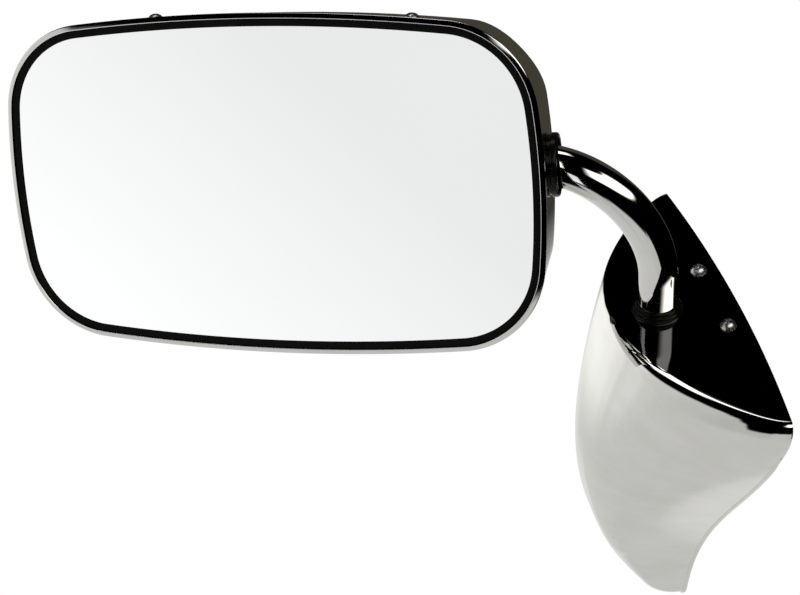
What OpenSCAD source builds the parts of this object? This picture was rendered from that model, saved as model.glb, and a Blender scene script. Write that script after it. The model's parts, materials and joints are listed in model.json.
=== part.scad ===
// Door mirror on a bent tube arm. Millimetres.
// Origin: centre of the door bolt circle on the door face. +X points into the door,
// +Y to the front of the vehicle, +Z up along the door.

/* [Base] */
// Lean of the base's flat top away from the door
door_lean = 8; // [4:1:12]
// Distance from the flat top down to the bolt circle, along the door
bolt_drop = 62; // [58:1:66]
// Distance from the arm's pivot axis to the door edge of the flat top
pivot_reach = 38.3; // [36:0.1:42]
// Height of the base cover
cover_h = 190; // [180:1:220]
// Half length of the base cover at its top
cover_half = 93; // [90:1:96]
// How far the base cover stands out from the door at its top
cover_depth = 61.5; // [60:0.5:68]
// Pitch circle of the three door bolts
bolt_pcd = 64; // [60:1:66]
// Diameter of the door bolt holes
bolt_hole_d = 6.6; // [5.5:0.1:8.5]

/* [Arm] */
// Outside diameter of the arm's tube
tube_d = 19.05; // [18.9:0.05:19.1]
// Wall of the arm's tube
tube_wall = 1.6; // [1.4:0.1:1.65]
// Straight part of the arm above the flat top
arm_riser = 22; // [21:1:30]
// Bend radius of the arm's centreline
bend_r = 51; // [45:1:60]
// Straight part from the bend to the centre of the ball
arm_reach = 18.4; // [18:0.1:20]
// Heading of the arm, from straight out of the door towards the front
arm_heading = 37.9; // [20:0.1:60]

/* [Head] */
// Half width of the shell at its front edge
head_half_w = 135.8; // [133:0.1:145]
// Half height of the shell at its front edge
head_half_h = 82.2; // [80:0.1:90]
// Radius of the head's corners
corner_r = 45; // [38:1:50]
// Slope of the shell's end walls
end_draft = 12; // [10:0.5:12]
// Slope of the shell's top and bottom walls
top_draft = 8; // [6:0.5:10]
// Full depth of the shell
shell_depth = 62; // [60:1:70]
// Heading of the glass about the vertical
head_turn = -31.5; // [-40:0.1:-25]
// Backward lean of the glass
head_lean = -23.3; // [-28:0.1:-15]
// Tilt of the head in its own plane
head_roll = -7.9; // [-12:0.1:0]

/* [Hidden] */

$fn = 64;
eps = 0.01;             // overlap that keeps a cut or a joint clean
fit = 0.05;             // radial clearance of a running fit

// Base cover
cover_t = 1.2;
cover_mid = -5.5;       // middle of the cover along the door, from the pivot
cover_edge_r = 6.4;     // round edge of the flat top
rear_drop = 8;          // how much further down the round edge reaches at the rear end
end_wall = 5;           // blunt end of the cover where it meets the door
end_power = 22;         // how sharply the blunt end turns
edge_bow = 5.4;         // how far the ends of the door edge draw back
cover_tip = 18.8;       // half length of the cover near its lowest edge
toe_share = 0.06;       // share of the height taken by the rounded lowest edge
arm_hole_r = 11.2;
cover_screw_x = 28.3;
cover_screw_y = 21;
cover_screw_head = 4;
cover_screw_dome = 3.1;
screw_r = 2.5;

// Bracket
plate_t = 3;
gasket_t = 2;
boss_r = 14;
boss_bottom = -22;
gusset_y = 29;
stud_r = 6;
bush_r = 9;

// Friction stack under the boss
washer_t = 1.5;
pivot_spring_h = 13;
cup_t = 1.6;
lock_nut_h = 10;
spring_z = boss_bottom - washer_t - pivot_spring_h;

// Arm
tube_r = tube_d / 2;
tube_in_r = tube_r - tube_wall;
tube_foot = 3;          // height of the tube's lower end above the flat top
thrust_t = 1.15;
ring_r = 12.4;
ring_step = 1.75;
plug_l = 16;
stud_end = -50;
ball_r = 10;
neck_r = 6;
tube_gap = 16.5;        // from the ball's centre to the tube's upper end
liner_t = 1.4;
cap_r = 14;             // outer radius of the dust cap about the ball's centre
cap_t = 1.2;

// Head: x towards the door, y away from the glass, z up
ball_at = [115.5, 31.2, 8.2];
shell_t = 1.2;
shell_front = 1;        // depth of the shell's front edge behind the glass's face
back_round = 18;        // radius between side wall and back
back_crown = 5;         // bulge of the back
glass_t = 3;
foam_t = 1;
glass_inset = 4.4;      // from the shell's outline to the glass's edge
top_bow_r = 945;        // radius of the outline's long sides
end_bow_r = 350;        // radius of its short sides
outline_n = 72;         // points round the outline
sheet_t = 2;
shell_screw_x = [-55, 74];
shell_screw_y = 10.5;
shell_screw_r = 2;
collar_r = 15;
collar_h = 3.8;
collar_bore_r = 13.2;
collar_spigot_r = 14.2;
collar_y = 29.6;        // where the arm passes the side wall
collar_z = 5.2;
socket_half_h = 24;
socket_back = 15;       // clamp block, from the ball's centre away from the door
socket_lip = 3.5;       // and towards the door
socket_d = 13.75;       // thickness of one clamp half
socket_split = 0.75;    // half the gap between the clamp halves
clamp_x = -6;
clamp_z = 17;
clamp_nut_h = 4;
seat_r = ball_r + fit + liner_t + fit;
web_y = ball_at[1] - socket_split - socket_d - sheet_t;

// ---- frames ----
door_centre = [pivot_reach - sin(door_lean) * bolt_drop, 0, -cos(door_lean) * bolt_drop];

// z = 0 is the cover's flat top, the pivot axis is z, +x points to the door
module base_frame() rotate([0, -door_lean, 0]) translate(-door_centre) children();

// The arm lies in this frame's xz plane
module arm_frame() base_frame() rotate([0, 0, 180 - arm_heading]) children();

// Origin at the ball, the arm's tube lies on the -x side
module ball_frame() arm_frame()
    translate([bend_r + arm_reach, 0, arm_riser + bend_r]) children();

module head_frame() ball_frame() rotate([0, 0, arm_heading - 180 + head_turn])
    rotate([head_lean, 0, 0]) rotate([0, head_roll, 0]) translate(-ball_at) children();

// ---- general shapes ----
module ring(r, r_in, h) difference() {
    cylinder(r = r, h = h);
    translate([0, 0, -1]) cylinder(r = r_in, h = h + 2);
}

module nut(across, r, h) difference() {
    cylinder(r = across / 2 / cos(30), h = h, $fn = 6);
    translate([0, 0, -1]) cylinder(r = r, h = h + 2);
}

// Domed head standing on z = 0 with a cross recess, shank below
module domed_screw(head_r, head_h, shank_r, shank_l) {
    dome_r = (head_r * head_r + head_h * head_h) / (2 * head_h);
    slot_w = head_r * 0.2;
    difference() {
        intersection() {
            translate([0, 0, head_h - dome_r]) sphere(r = dome_r);
            cylinder(r = head_r, h = head_h + 1);
        }
        for (a = [0, 90])
            rotate([0, 0, a]) translate([-head_r / 2, -slot_w / 2, head_h * 0.45])
                cube([head_r, slot_w, head_h]);
    }
    translate([0, 0, -shank_l]) cylinder(r = shank_r, h = shank_l + eps);
}

// Round-wire coil spring standing on z = 0
module coil(mean_r, wire_r, h, turns, steps = 14, sides = 6) {
    n = turns * steps;
    rise = h - 2 * wire_r;
    pts = [for (i = [0:n]) for (j = [0:sides - 1])
        let (a = 360 * i / steps, b = 360 * j / sides, r = mean_r + wire_r * cos(b))
        [r * cos(a), r * sin(a), wire_r + rise * i / n + wire_r * sin(b)]];
    quads = [for (i = [0:n - 1]) for (j = [0:sides - 1])
        let (a = i * sides + j, b = i * sides + (j + 1) % sides)
        [a, b, b + sides, a + sides]];
    first = [for (j = [0:sides - 1]) j];
    last = [for (j = [sides - 1:-1:0]) n * sides + j];
    polyhedron(points = pts, faces = concat(split(quads), [first, last]));
}

// Each four-cornered face as two triangles
function split(quads) = [for (q = quads) each [[q[0], q[1], q[2]], [q[0], q[2], q[3]]]];

// ---- the head's outline: bowed sides joined by corner arcs ----
top_z = head_half_h - top_bow_r;     // centre of the long upper arc
end_x = head_half_w - end_bow_r;     // centre of the end arc
corner_at = let (a = top_bow_r - corner_r, b = end_bow_r - corner_r, d = norm([end_x, top_z]),
    k = (a * a - b * b + d * d) / (2 * d), q = sqrt(a * a - k * k), u = [end_x, -top_z] / d)
    [0, top_z] + k * u + q * [u[1], -u[0]];
end_stop = atan2(corner_at[1], corner_at[0] - end_x);
top_start = atan2(corner_at[1] - top_z, corner_at[0]);

// Point of the outline whose outward direction is a, drawn in by inset
function outline_at(a, inset) = let (b = atan2(abs(sin(a)), abs(cos(a))),
    c = b < end_stop ? [end_x, 0] : b < top_start ? corner_at : [0, top_z],
    r = (b < end_stop ? end_bow_r : b < top_start ? corner_r : top_bow_r) - inset)
    [sign(cos(a)) * (c[0] + r * cos(b)), sign(sin(a)) * (c[1] + r * sin(b))];

// Outward directions of n points, closer together round the corners
function direction(i, n) = let (q = floor(4 * i / n), u = 4 * i / n - q)
    90 * q + (q % 2 == 0 ? quarter(u) : 90 - quarter(1 - u));
function quarter(u) = lookup(u, [[0, 0], [0.2, end_stop], [0.7, top_start], [1, 90]]);

// Closed section of [inset, depth] points carried round the outline
module outline_ring(section, n = outline_n) {
    m = len(section);
    pts = [for (i = [0:n - 1]) for (s = section)
        let (p = outline_at(direction(i, n), s[0])) [p[0], s[1], p[1]]];
    quads = [for (i = [0:n - 1]) for (j = [0:m - 1])
        let (a = i * m, b = ((i + 1) % n) * m, k = (j + 1) % m)
        [a + j, a + k, b + k, b + j]];
    polyhedron(points = pts, faces = split(quads));
}

// Flat plate with the outline drawn in by inset, from depth y to y + t
module outline_plate(inset, y, t, n = outline_n)
    translate([0, y + t, 0]) rotate([90, 0, 0]) linear_extrude(t)
        polygon([for (i = [0:n - 1]) outline_at(direction(i, n), inset)]);

// ---- base ----
function smooth(x) = let (t = min(max(x, 0), 1)) t * t * (3 - 2 * t);
// Share s runs from 0 at the flat top to 1 at the lowest edge
function half_len(s) = cover_half - (cover_half - cover_tip) * smooth(s + 0.085);
function stand_out(s) = cover_depth * (1 + 0.81 * s - 1.2 * s * s - 0.41 * s * s * s);
function fullness(s) = 2.2 + 5.8 * pow(min(s, 0.75), 3);

// Section of the cover's side, 1 in the middle and 0 at the door, for a stand-out d
function side_out(s, v, d) = let (e = min(end_wall, d / 3))
    (d - e) * (1 - pow(abs(v), fullness(s))) + e * sqrt(1 - pow(abs(v), end_power));
// Depth of a row at v: the round edge reaches further down towards the rear end
function row_depth(h, v) = let (r = cover_edge_r, f = rear_drop * smooth((-v - 0.3) / 0.7))
    h < r ? h * (1 + f / r) : h + f * (cover_h - h) / (cover_h - r);
// Point of the cover's side: v runs from -1 at the rear to 1 at the front
function cover_point(h, v, inset, k) = let (depth = row_depth(h, v), s = depth / cover_h,
    w = k * (half_len(s) - 1.15 * inset), d = k * (stand_out(s) - inset))
    [pivot_reach - tan(door_lean) * depth - edge_bow * v * v * w / cover_half
        - side_out(s, v, d), cover_mid + v * w, -depth];

// Rows of [depth, inset, scale] from the flat top down; t draws the surface in
function cover_rows(t) = let (r = cover_edge_r - t, arc = 5, body = 15, toe = 5,
    low = cover_h * (1 - toe_share))
    concat([for (i = [0:arc - 1]) let (a = 90 - 90 * i / arc)
            [t + r * (1 - sin(a)), t + r * (1 - cos(a)), 1]],
        [for (i = [0:body]) [cover_edge_r + (low - cover_edge_r) * i / body, t, 1]],
        [for (i = [1:toe]) let (a = 80 * i / toe)
            [low + (cover_h * toe_share - t) * sin(a), t, cos(a)]]);

module cover_skin() {
    cols = 38;
    vs = [for (j = [0:cols]) sin(180 * j / cols - 90)];
    back = [for (j = [1:16]) 1 - j / 8.5];
    n = cols + 1;
    outer = cover_rows(0);
    inner = cover_rows(cover_t);
    rows = len(outer);
    side = n * rows;
    edge = len(back);
    pts = concat(
        [for (h = outer) for (v = vs) cover_point(h[0], v, h[1], h[2])],
        [for (h = inner) for (v = vs) cover_point(h[0], v, h[1], h[2])],
        [for (v = back) edge_point(0, v, cover_edge_r)],
        [for (v = back) edge_point(cover_t, v, cover_edge_r)]);
    e = 2 * side;
    rim_out = concat([n - 1], [for (j = [0:edge - 1]) e + j], [0]);
    rim_in = concat([side + n - 1], [for (j = [0:edge - 1]) e + edge + j], [side]);
    last = n * (rows - 1);
    quads = concat(
        [for (i = [0:rows - 2]) for (j = [0:cols - 1]) let (a = i * n + j)
            [a, a + n, a + n + 1, a + 1]],
        [for (i = [0:rows - 2]) for (j = [0:cols - 1]) let (a = side + i * n + j)
            [a, a + 1, a + n + 1, a + n]],
        [for (i = [0:rows - 2]) let (a = i * n) [a, side + a, side + a + n, a + n]],
        [for (i = [0:rows - 2]) let (a = i * n + cols)
            [a, a + n, side + a + n, side + a]],
        [for (j = [0:edge]) [rim_out[j], rim_in[j], rim_in[j + 1], rim_out[j + 1]]],
        [[last, side + last, side + last + cols, last + cols]]);
    top = concat([for (j = [0:cols]) j], [for (j = [0:edge - 1]) e + j]);
    roof = [for (j = [len(top) - 1:-1:0]) top[j] < n ? side + top[j] : top[j] + edge];
    floor_out = [for (j = [cols:-1:0]) last + j];
    floor_in = [for (j = [0:cols]) side + last + j];
    polyhedron(points = pts, faces = concat(split(quads), [top, roof, floor_out, floor_in]));
}

// Point of the flat top's door edge
function edge_point(depth, v, inset) = let (w = half_len(0) - 1.15 * inset)
    [pivot_reach - tan(door_lean) * depth - edge_bow * v * v * w / cover_half,
        cover_mid + v * w, -depth];

module at_cover_screws() for (y = [-1, 1])
    translate([cover_screw_x, y * cover_screw_y, 0]) children();

module base_cover() color("gainsboro") base_frame() difference() {
    cover_skin();
    translate([0, 0, -cover_t - 1]) cylinder(r = arm_hole_r, h = cover_t + 2);
    at_cover_screws() translate([0, 0, -cover_t - 1])
        cylinder(r = screw_r + 0.2, h = cover_t + 2);
}

// Door-side plate from x to x + t with the three bolt holes
module door_plate(x, t) translate([x, 0, 0]) rotate([90, 0, 90]) difference() {
    linear_extrude(t) hull() {
        for (y = [-1, 1]) translate([y * 26, bolt_drop - 9.5]) circle(r = 7);
        for (y = [-1, 1]) translate([y * 27.7, bolt_pcd / 4]) circle(r = 9.5);
        translate([0, -bolt_pcd / 2]) circle(r = 12);
    }
    for (a = [30, 150, 270])
        rotate([0, 0, a]) translate([bolt_pcd / 2, 0, -1]) cylinder(d = bolt_hole_d, h = t + 2);
}

module door_bracket() color("lightslategray") difference() {
    union() {
        door_plate(-gasket_t - plate_t, plate_t);
        base_frame() {
            translate([0, 0, -cover_t - plate_t]) linear_extrude(plate_t) hull() {
                circle(r = boss_r + 2);
                for (y = [-1, 1]) translate([24, y * 24]) circle(r = 8);
                for (y = [-1, 1]) translate([pivot_reach - 3.7, y * 31]) circle(r = 1);
            }
            translate([0, 0, boss_bottom]) cylinder(r = boss_r, h = -boss_bottom - cover_t - 1);
            for (y = [-gusset_y - plate_t, gusset_y]) translate([0, y + plate_t, 0])
                rotate([90, 0, 0]) linear_extrude(plate_t)
                    polygon([[4, -cover_t - 1], [pivot_reach - 4.6, -cover_t - 1],
                        [pivot_reach - 8.9, -36]]);
        }
    }
    base_frame() {
        translate([0, 0, boss_bottom - 1]) cylinder(r = bush_r, h = -boss_bottom + 2);
        at_cover_screws() translate([0, 0, -cover_t - plate_t - 1])
            cylinder(r = screw_r + 0.2, h = plate_t + 2);
    }
}

module door_gasket() color("dimgray") door_plate(-gasket_t, gasket_t);

module base_ring() color("dimgray") base_frame() difference() {
    for (i = [0:2]) cylinder(r = ring_r - 0.95 * i, h = ring_step * (i + 1));
    translate([0, 0, -1]) cylinder(r = tube_r + 0.08, h = 3 * ring_step + 2);
}

module swivel_bush() color("ivory") base_frame() translate([0, 0, boss_bottom])
    ring(bush_r - 0.02, stud_r + fit, -boss_bottom - cover_t);

module thrust_washer() color("ivory") base_frame() translate([0, 0, -cover_t])
    ring(arm_hole_r - 0.2, stud_r + fit, thrust_t);

module pressure_washer() color("silver") base_frame() translate([0, 0, boss_bottom - washer_t])
    ring(boss_r - 2, stud_r + 0.1, washer_t);

module cover_screws() color("silver") base_frame() at_cover_screws()
    domed_screw(cover_screw_head, cover_screw_dome, screw_r, 12);

module cover_nuts() color("silver") base_frame() at_cover_screws()
    translate([0, 0, -cover_t - plate_t - 4]) rotate([0, 0, 30]) nut(7, screw_r + 0.02, 4);

// ---- arm ----
module pivot_stud() color("silver") arm_frame() {
    foot = thrust_t - cover_t;
    translate([0, 0, foot]) cylinder(r = tube_r - 0.03, h = tube_foot - foot);
    translate([0, 0, tube_foot]) cylinder(r = tube_in_r - 0.02, h = plug_l);
    translate([0, 0, stud_end]) cylinder(r = stud_r, h = foot - stud_end);
}

module pivot_spring() color("dimgray") arm_frame() translate([0, 0, spring_z])
    coil(9, 1.2, pivot_spring_h, 4);

module spring_cup() color("silver") arm_frame() translate([0, 0, spring_z - cup_t]) {
    ring(boss_r - 2, stud_r + 0.1, cup_t);
    translate([0, 0, cup_t - eps]) ring(boss_r - 2, boss_r - 3.2, 2.5);
}

module lock_nut() color("silver") arm_frame()
    translate([0, 0, spring_z - cup_t - lock_nut_h]) nut(18, stud_r + 0.02, lock_nut_h);

// Bar of radius r along the arm's centreline, open past both ends by extra
module arm_bar(r, extra) {
    translate([0, 0, tube_foot - extra]) cylinder(r = r, h = arm_riser - tube_foot + extra);
    translate([bend_r, 0, arm_riser]) rotate([90, 0, 0]) rotate([0, 0, 90])
        rotate_extrude(angle = 90, $fn = 96) translate([bend_r, 0]) circle(r = r);
    translate([bend_r, 0, arm_riser + bend_r]) rotate([0, 90, 0])
        cylinder(r = r, h = arm_reach - tube_gap + extra);
}

module arm_tube() color("gainsboro") arm_frame() difference() {
    arm_bar(tube_r, 0);
    arm_bar(tube_in_r, 1);
}

module ball_stud() color("silver") ball_frame() {
    sphere(r = ball_r);
    translate([-tube_gap, 0, 0]) rotate([0, 90, 0]) cylinder(r = neck_r, h = tube_gap);
    translate([-tube_gap, 0, 0]) rotate([0, 90, 0]) cylinder(r = tube_r - 0.3, h = 1.2);
    translate([-tube_gap - 8, 0, 0]) rotate([0, 90, 0]) cylinder(r = tube_in_r - 0.42, h = 8.5);
}

// Rubber cap on the ball's neck that closes the opening from inside
module dust_cap() color("dimgray") ball_frame() rotate([0, -90, 0])
    round_shell(cap_r, cap_r - cap_t, neck_r + 0.02, cap_r * cos(58));

// Cup round the ball, open towards the tube
module ball_liner() color("ivory") ball_frame() rotate([0, 90, 0])
    round_shell(ball_r + fit + liner_t, ball_r + fit, 0, -ball_r * cos(70));

// Part of a ball's shell above z = low, with a hole of hole_r in its crown
module round_shell(r, r_in, hole_r, low) rotate_extrude() difference() {
    circle(r = r);
    circle(r = r_in);
    translate([-2 * r, -r - 1]) square([2 * r, 2 * r + 2]);
    translate([-1, low - 2 * r]) square([2 * r, 2 * r]);
    if (hole_r > 0) translate([-1, 0]) square([hole_r + 1, r + 1]);
}

// ---- ball clamp in the head ----
module at_ball() translate(ball_at) children();
module at_clamps(y) for (s = [-1, 1])
    at_ball() translate([clamp_x, y, s * clamp_z]) rotate([-90, 0, 0]) children();

// Rear half of the clamp, about the ball's centre: the seat is a straight bore, then a
// cone at 45 degrees that touches the liner all round
socket_deep = socket_split + socket_d;
cone_y = seat_r * (sqrt(2) - 1);
module socket_half() difference() {
    translate([0, socket_deep, 0]) rotate([90, 0, 0]) linear_extrude(socket_d)
        hull() for (s = [-1, 1]) {
            translate([7 - socket_back, s * (socket_half_h - 7)]) circle(r = 7);
            translate([socket_lip - 2, s * (socket_half_h - 6)]) circle(r = 2);
        }
    rotate([-90, 0, 0]) {
        cylinder(r = seat_r, h = cone_y);
        translate([0, 0, cone_y - eps])
            cylinder(r1 = seat_r + eps, r2 = seat_r + cone_y - socket_deep - 1,
                h = socket_deep + 1 - cone_y);
    }
    for (s = [-1, 1]) translate([clamp_x, 0, s * clamp_z]) rotate([-90, 0, 0])
        cylinder(r = screw_r + 0.2, h = socket_deep + 1);
}

module socket_front() color("silver") head_frame() at_ball() rotate([180, 0, 0]) socket_half();
module socket_rear() color("silver") head_frame() at_ball() socket_half();

clamp_head_y = glass_t + foam_t + 1.2 + 0.6;
clamp_head_h = 2;

module socket_screws() color("silver") head_frame()
    at_clamps(clamp_head_y - ball_at[1]) {
        cylinder(r = 4.6, h = clamp_head_h);
        cylinder(r = screw_r, h = ball_at[1] - clamp_head_y + socket_split + socket_d + 5);
    }

module socket_springs() color("dimgray") head_frame()
    at_clamps(clamp_head_y + clamp_head_h - ball_at[1])
        coil(3.7, 0.55, web_y - clamp_head_y - clamp_head_h, 4, 12);

module socket_nuts() color("silver") head_frame()
    at_clamps(socket_split + socket_d) nut(8, screw_r + 0.02, clamp_nut_h);

// ---- head ----
// Slope of the side wall facing direction a
function wall_slope(a) = tan(end_draft) * pow(cos(a), 2) + tan(top_draft) * pow(sin(a), 2);
// Height of the top wall's outer face above x at depth y, and its fall along x
function wall_r(y) = top_bow_r - (y - shell_front) * tan(top_draft);
function wall_z(x, y) = top_z + sqrt(pow(wall_r(y), 2) - x * x);
function wall_fall(x, y) = asin(x / wall_r(y));

// Stands on the shell's top at the two screws, z outwards
module at_shell_screws() for (x = shell_screw_x)
    translate([x, shell_screw_y, wall_z(x, shell_screw_y)]) rotate([-top_draft, 0, 0])
        rotate([0, wall_fall(x, shell_screw_y), 0]) children();

module at_collar() translate([head_half_w - (collar_y - shell_front) * tan(end_draft), collar_y,
    collar_z]) rotate([0, 0, end_draft]) rotate([0, 90, 0]) children();

// Frame of the head: a cross bar and two uprights, tabs at top and bottom
module head_bracket() color("lightslategray") head_frame() difference() {
    union() {
        translate([-85, web_y, ball_at[2] - 22]) cube([203, sheet_t, 44]);
        for (x = shell_screw_x) {
            top = wall_z(x, web_y + sheet_t) - shell_t - 1.6;
            translate([x - 10, web_y, -top]) cube([20, sheet_t, 2 * top]);
        }
        at_shell_screws() tab();
        mirror([0, 0, 1]) at_shell_screws() tab();
    }
    at_shell_screws() translate([0, 0, -6]) cylinder(r = shell_screw_r + 0.2, h = 8);
    at_clamps(web_y - ball_at[1] - 1) cylinder(r = screw_r + 0.2, h = sheet_t + 2);
    for (x = [-30, 10, 45]) translate([x, web_y - 1, ball_at[2]]) rotate([-90, 0, 0])
        cylinder(r = 12, h = sheet_t + 2);
}

module tab() translate([-10, -4.2, -shell_t - sheet_t - 0.3]) cube([20, 9.8, sheet_t]);

module backing_plate() color("dimgray") head_frame()
    outline_plate(3.2, glass_t + foam_t, 1.2);

module foam_pad() color("darkslategray") head_frame() outline_plate(7, glass_t, foam_t);

module mirror_glass() color("white") head_frame() outline_plate(glass_inset, 0, glass_t);

module glass_seal() color("black") head_frame()
    outline_ring([[3.1, 0], [glass_inset - 0.05, 0], [glass_inset - 0.05, glass_t], [3.1, glass_t]]);

// Round bead over the shell's edge, groove, band over the glass's edge, short skirt
module rim_trim() color("gainsboro") head_frame()
    outline_ring([[-0.35, 0.9], [-0.5, 0.3], [-0.2, -0.4], [0.5, -0.85], [1.3, -0.8],
        [1.9, -0.3], [2.2, 0.1], [2.6, -0.35], [3, -0.5], [5.8, -0.4], [5.8, -0.1],
        [3.1, -0.1], [3.1, 3.9], [2.2, 3.9], [2.2, 0.9]]);

round_rows = 6;         // rows of the rounding between wall and back
crown_rows = 4;         // rows of the crowned back

// Point of the shell on row i facing direction a; t draws the surface in
function shell_point(i, a, t) = let (slope = wall_slope(a), d = atan(slope),
    r = back_round - t, deep = shell_depth - back_crown - t, cy = deep - r,
    inset = (cy - shell_front) * slope + (t + r) / cos(d), turn = (i - 1) / round_rows,
    b = d + (90 - d) * turn, k = 1 - (i - round_rows - 1) / (crown_rows + 1))
    i == 0 ? shell_at(a, t / cos(d), shell_front, 1)
    : i <= round_rows + 1 ? shell_at(a, inset - r * cos(b), cy + r * sin(b), 1)
    : shell_at(a, inset, deep + back_crown * pow(1 - k * k, 2), k);
function shell_at(a, inset, y, k) = let (p = k * outline_at(a, inset)) [p[0], y, p[1]];

module shell_skin(n = outline_n) {
    rows = round_rows + crown_rows + 2;
    side = rows * n;
    pts = concat(
        [for (i = [0:rows - 1]) for (j = [0:n - 1]) shell_point(i, direction(j, n), 0)],
        [for (i = [0:rows - 1]) for (j = [0:n - 1]) shell_point(i, direction(j, n), shell_t)],
        [[0, shell_depth, 0], [0, shell_depth - shell_t, 0]]);
    quads = concat(
        [for (j = [0:rows - 2]) for (i = [0:n - 1]) let (a = j * n, k = (i + 1) % n)
            [a + i, a + n + i, a + n + k, a + k]],
        [for (j = [0:rows - 2]) for (i = [0:n - 1]) let (a = side + j * n, k = (i + 1) % n)
            [a + i, a + k, a + n + k, a + n + i]],
        [for (i = [0:n - 1]) let (k = (i + 1) % n) [i, k, side + k, side + i]]);
    fans = [for (i = [0:n - 1]) let (k = (i + 1) % n, a = side - n) each
        [[a + i, 2 * side, a + k], [side + a + i, side + a + k, 2 * side + 1]]];
    polyhedron(points = pts, faces = concat(split(quads), fans));
}

module head_shell() color("gainsboro") head_frame() difference() {
    shell_skin();
    at_collar() translate([0, 0, -6]) cylinder(r = collar_spigot_r + 0.05, h = 12);
    at_shell_screws() translate([0, 0, -4]) cylinder(r = shell_screw_r + 0.2, h = 8);
}

module shell_screws() color("silver") head_frame() at_shell_screws()
    translate([0, 0, 0.05]) domed_screw(3.7, 2.2, shell_screw_r, 9);

module shell_nuts() color("silver") head_frame() at_shell_screws()
    translate([0, 0, -shell_t - sheet_t - 3.4]) nut(6.5, shell_screw_r + 0.02, 3);

// Ring outside the side wall, spigot through it
module collar() color("dimgray") head_frame() at_collar() rotate_extrude()
    polygon([[collar_bore_r, -1.6], [collar_spigot_r, -1.6], [collar_spigot_r, 0.9],
        [collar_r - 0.5, 0.9], [collar_r, 1.4], [collar_r, collar_h - 0.8],
        [collar_r - 0.8, collar_h], [collar_bore_r + 0.5, collar_h],
        [collar_bore_r, collar_h - 0.5]]);

base_cover();
door_bracket();
door_gasket();
base_ring();
swivel_bush();
thrust_washer();
pressure_washer();
cover_screws();
cover_nuts();
pivot_stud();
pivot_spring();
spring_cup();
lock_nut();
arm_tube();
ball_stud();
dust_cap();
ball_liner();
socket_front();
socket_rear();
socket_screws();
socket_springs();
socket_nuts();
head_bracket();
backing_plate();
foam_pad();
mirror_glass();
glass_seal();
rim_trim();
head_shell();
shell_screws();
shell_nuts();
collar();
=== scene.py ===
import json
import math

import bmesh
import bpy
from mathutils import Matrix, Vector


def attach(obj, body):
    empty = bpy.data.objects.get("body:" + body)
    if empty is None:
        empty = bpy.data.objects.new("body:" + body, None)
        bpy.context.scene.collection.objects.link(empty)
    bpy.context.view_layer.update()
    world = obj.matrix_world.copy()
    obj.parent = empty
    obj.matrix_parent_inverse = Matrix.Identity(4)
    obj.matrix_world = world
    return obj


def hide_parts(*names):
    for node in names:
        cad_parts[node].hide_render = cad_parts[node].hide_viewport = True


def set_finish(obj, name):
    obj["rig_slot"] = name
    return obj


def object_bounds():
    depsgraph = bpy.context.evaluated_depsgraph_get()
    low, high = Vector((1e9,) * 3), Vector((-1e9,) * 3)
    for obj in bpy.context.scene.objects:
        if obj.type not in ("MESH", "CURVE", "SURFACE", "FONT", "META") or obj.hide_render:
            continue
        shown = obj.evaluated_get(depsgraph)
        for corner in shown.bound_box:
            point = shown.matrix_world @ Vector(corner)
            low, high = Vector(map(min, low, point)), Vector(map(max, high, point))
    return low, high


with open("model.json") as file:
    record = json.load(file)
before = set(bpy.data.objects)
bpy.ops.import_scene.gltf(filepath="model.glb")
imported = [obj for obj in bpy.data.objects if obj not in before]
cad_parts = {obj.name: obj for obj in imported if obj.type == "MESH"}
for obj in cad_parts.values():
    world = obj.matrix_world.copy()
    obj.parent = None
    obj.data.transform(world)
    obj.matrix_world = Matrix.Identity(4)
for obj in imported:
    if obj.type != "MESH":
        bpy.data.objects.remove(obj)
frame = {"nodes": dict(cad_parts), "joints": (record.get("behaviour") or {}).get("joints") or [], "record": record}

cad_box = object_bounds()

MM = 0.001
DRILL_LENGTH = 12        # far more than the thickness of any sheet that is drilled
nodes = frame["nodes"]
record = frame["record"]
joints = {j["name"]: j for j in frame["joints"]}
slot_of = {s["node"]: s["material_slot"] for s in record["subparts"]}

# ---------------------------------------------------------------- frames

pivot = Vector(joints["arm_swivel"]["pos_m"])
swivel_axis = Vector(joints["arm_swivel"]["axis"]).normalized()
ball = Vector(joints["head_swing"]["pos_m"])
head_up = Vector(joints["head_swing"]["axis"]).normalized()


def axes_at(x, y, z, origin):
    """Frame with the given unit axes and origin, in metres."""
    m = Matrix((x, y, z)).transposed().to_4x4()
    m.translation = origin
    return m


def shifted(place, x, y, z):
    """The frame `place` moved along its own axes, in millimetres."""
    return place @ Matrix.Translation(Vector((x, y, z)) * MM)


def plate_normal(node):
    """Direction of the node's largest flat face."""
    face = max(nodes[node].data.polygons, key=lambda p: p.area)
    return face.normal.copy()


def base_axes():
    """Origin on the cover's flat top at the swivel axis, z up that axis, y to the front."""
    y = Vector((0, 1, 0))
    return axes_at(y.cross(swivel_axis), y, swivel_axis, pivot)


def arm_axes():
    """The arm lies in this frame's xz plane, its foot at the origin."""
    out = ball - pivot
    x = (out - swivel_axis * out.dot(swivel_axis)).normalized()
    return axes_at(x, swivel_axis.cross(x), swivel_axis, pivot)


def head_axes():
    """Origin in the middle of the glass's face, x to the door, y away from the glass, z up."""
    y = plate_normal("mirror_glass")
    points = [v.co for v in nodes["mirror_glass"].data.vertices]
    centre = sum(points, Vector()) / len(points)
    if y.dot(ball - centre) < 0:
        y.negate()
    z = (head_up - y * head_up.dot(y)).normalized()
    depths = [(p - centre).dot(y) for p in points]
    return axes_at(y.cross(z), y, z, centre + y * min(depths))


BASE = base_axes()
ARM = arm_axes()
HEAD = head_axes()


# ---------------------------------------------------------------- mesh helpers

def object_from(bm, name):
    """Turns a bmesh into a linked object and frees the bmesh."""
    mesh = bpy.data.meshes.new(name)
    bm.to_mesh(mesh)
    bm.free()
    obj = bpy.data.objects.new(name, mesh)
    bpy.context.scene.collection.objects.link(obj)
    return obj


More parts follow.
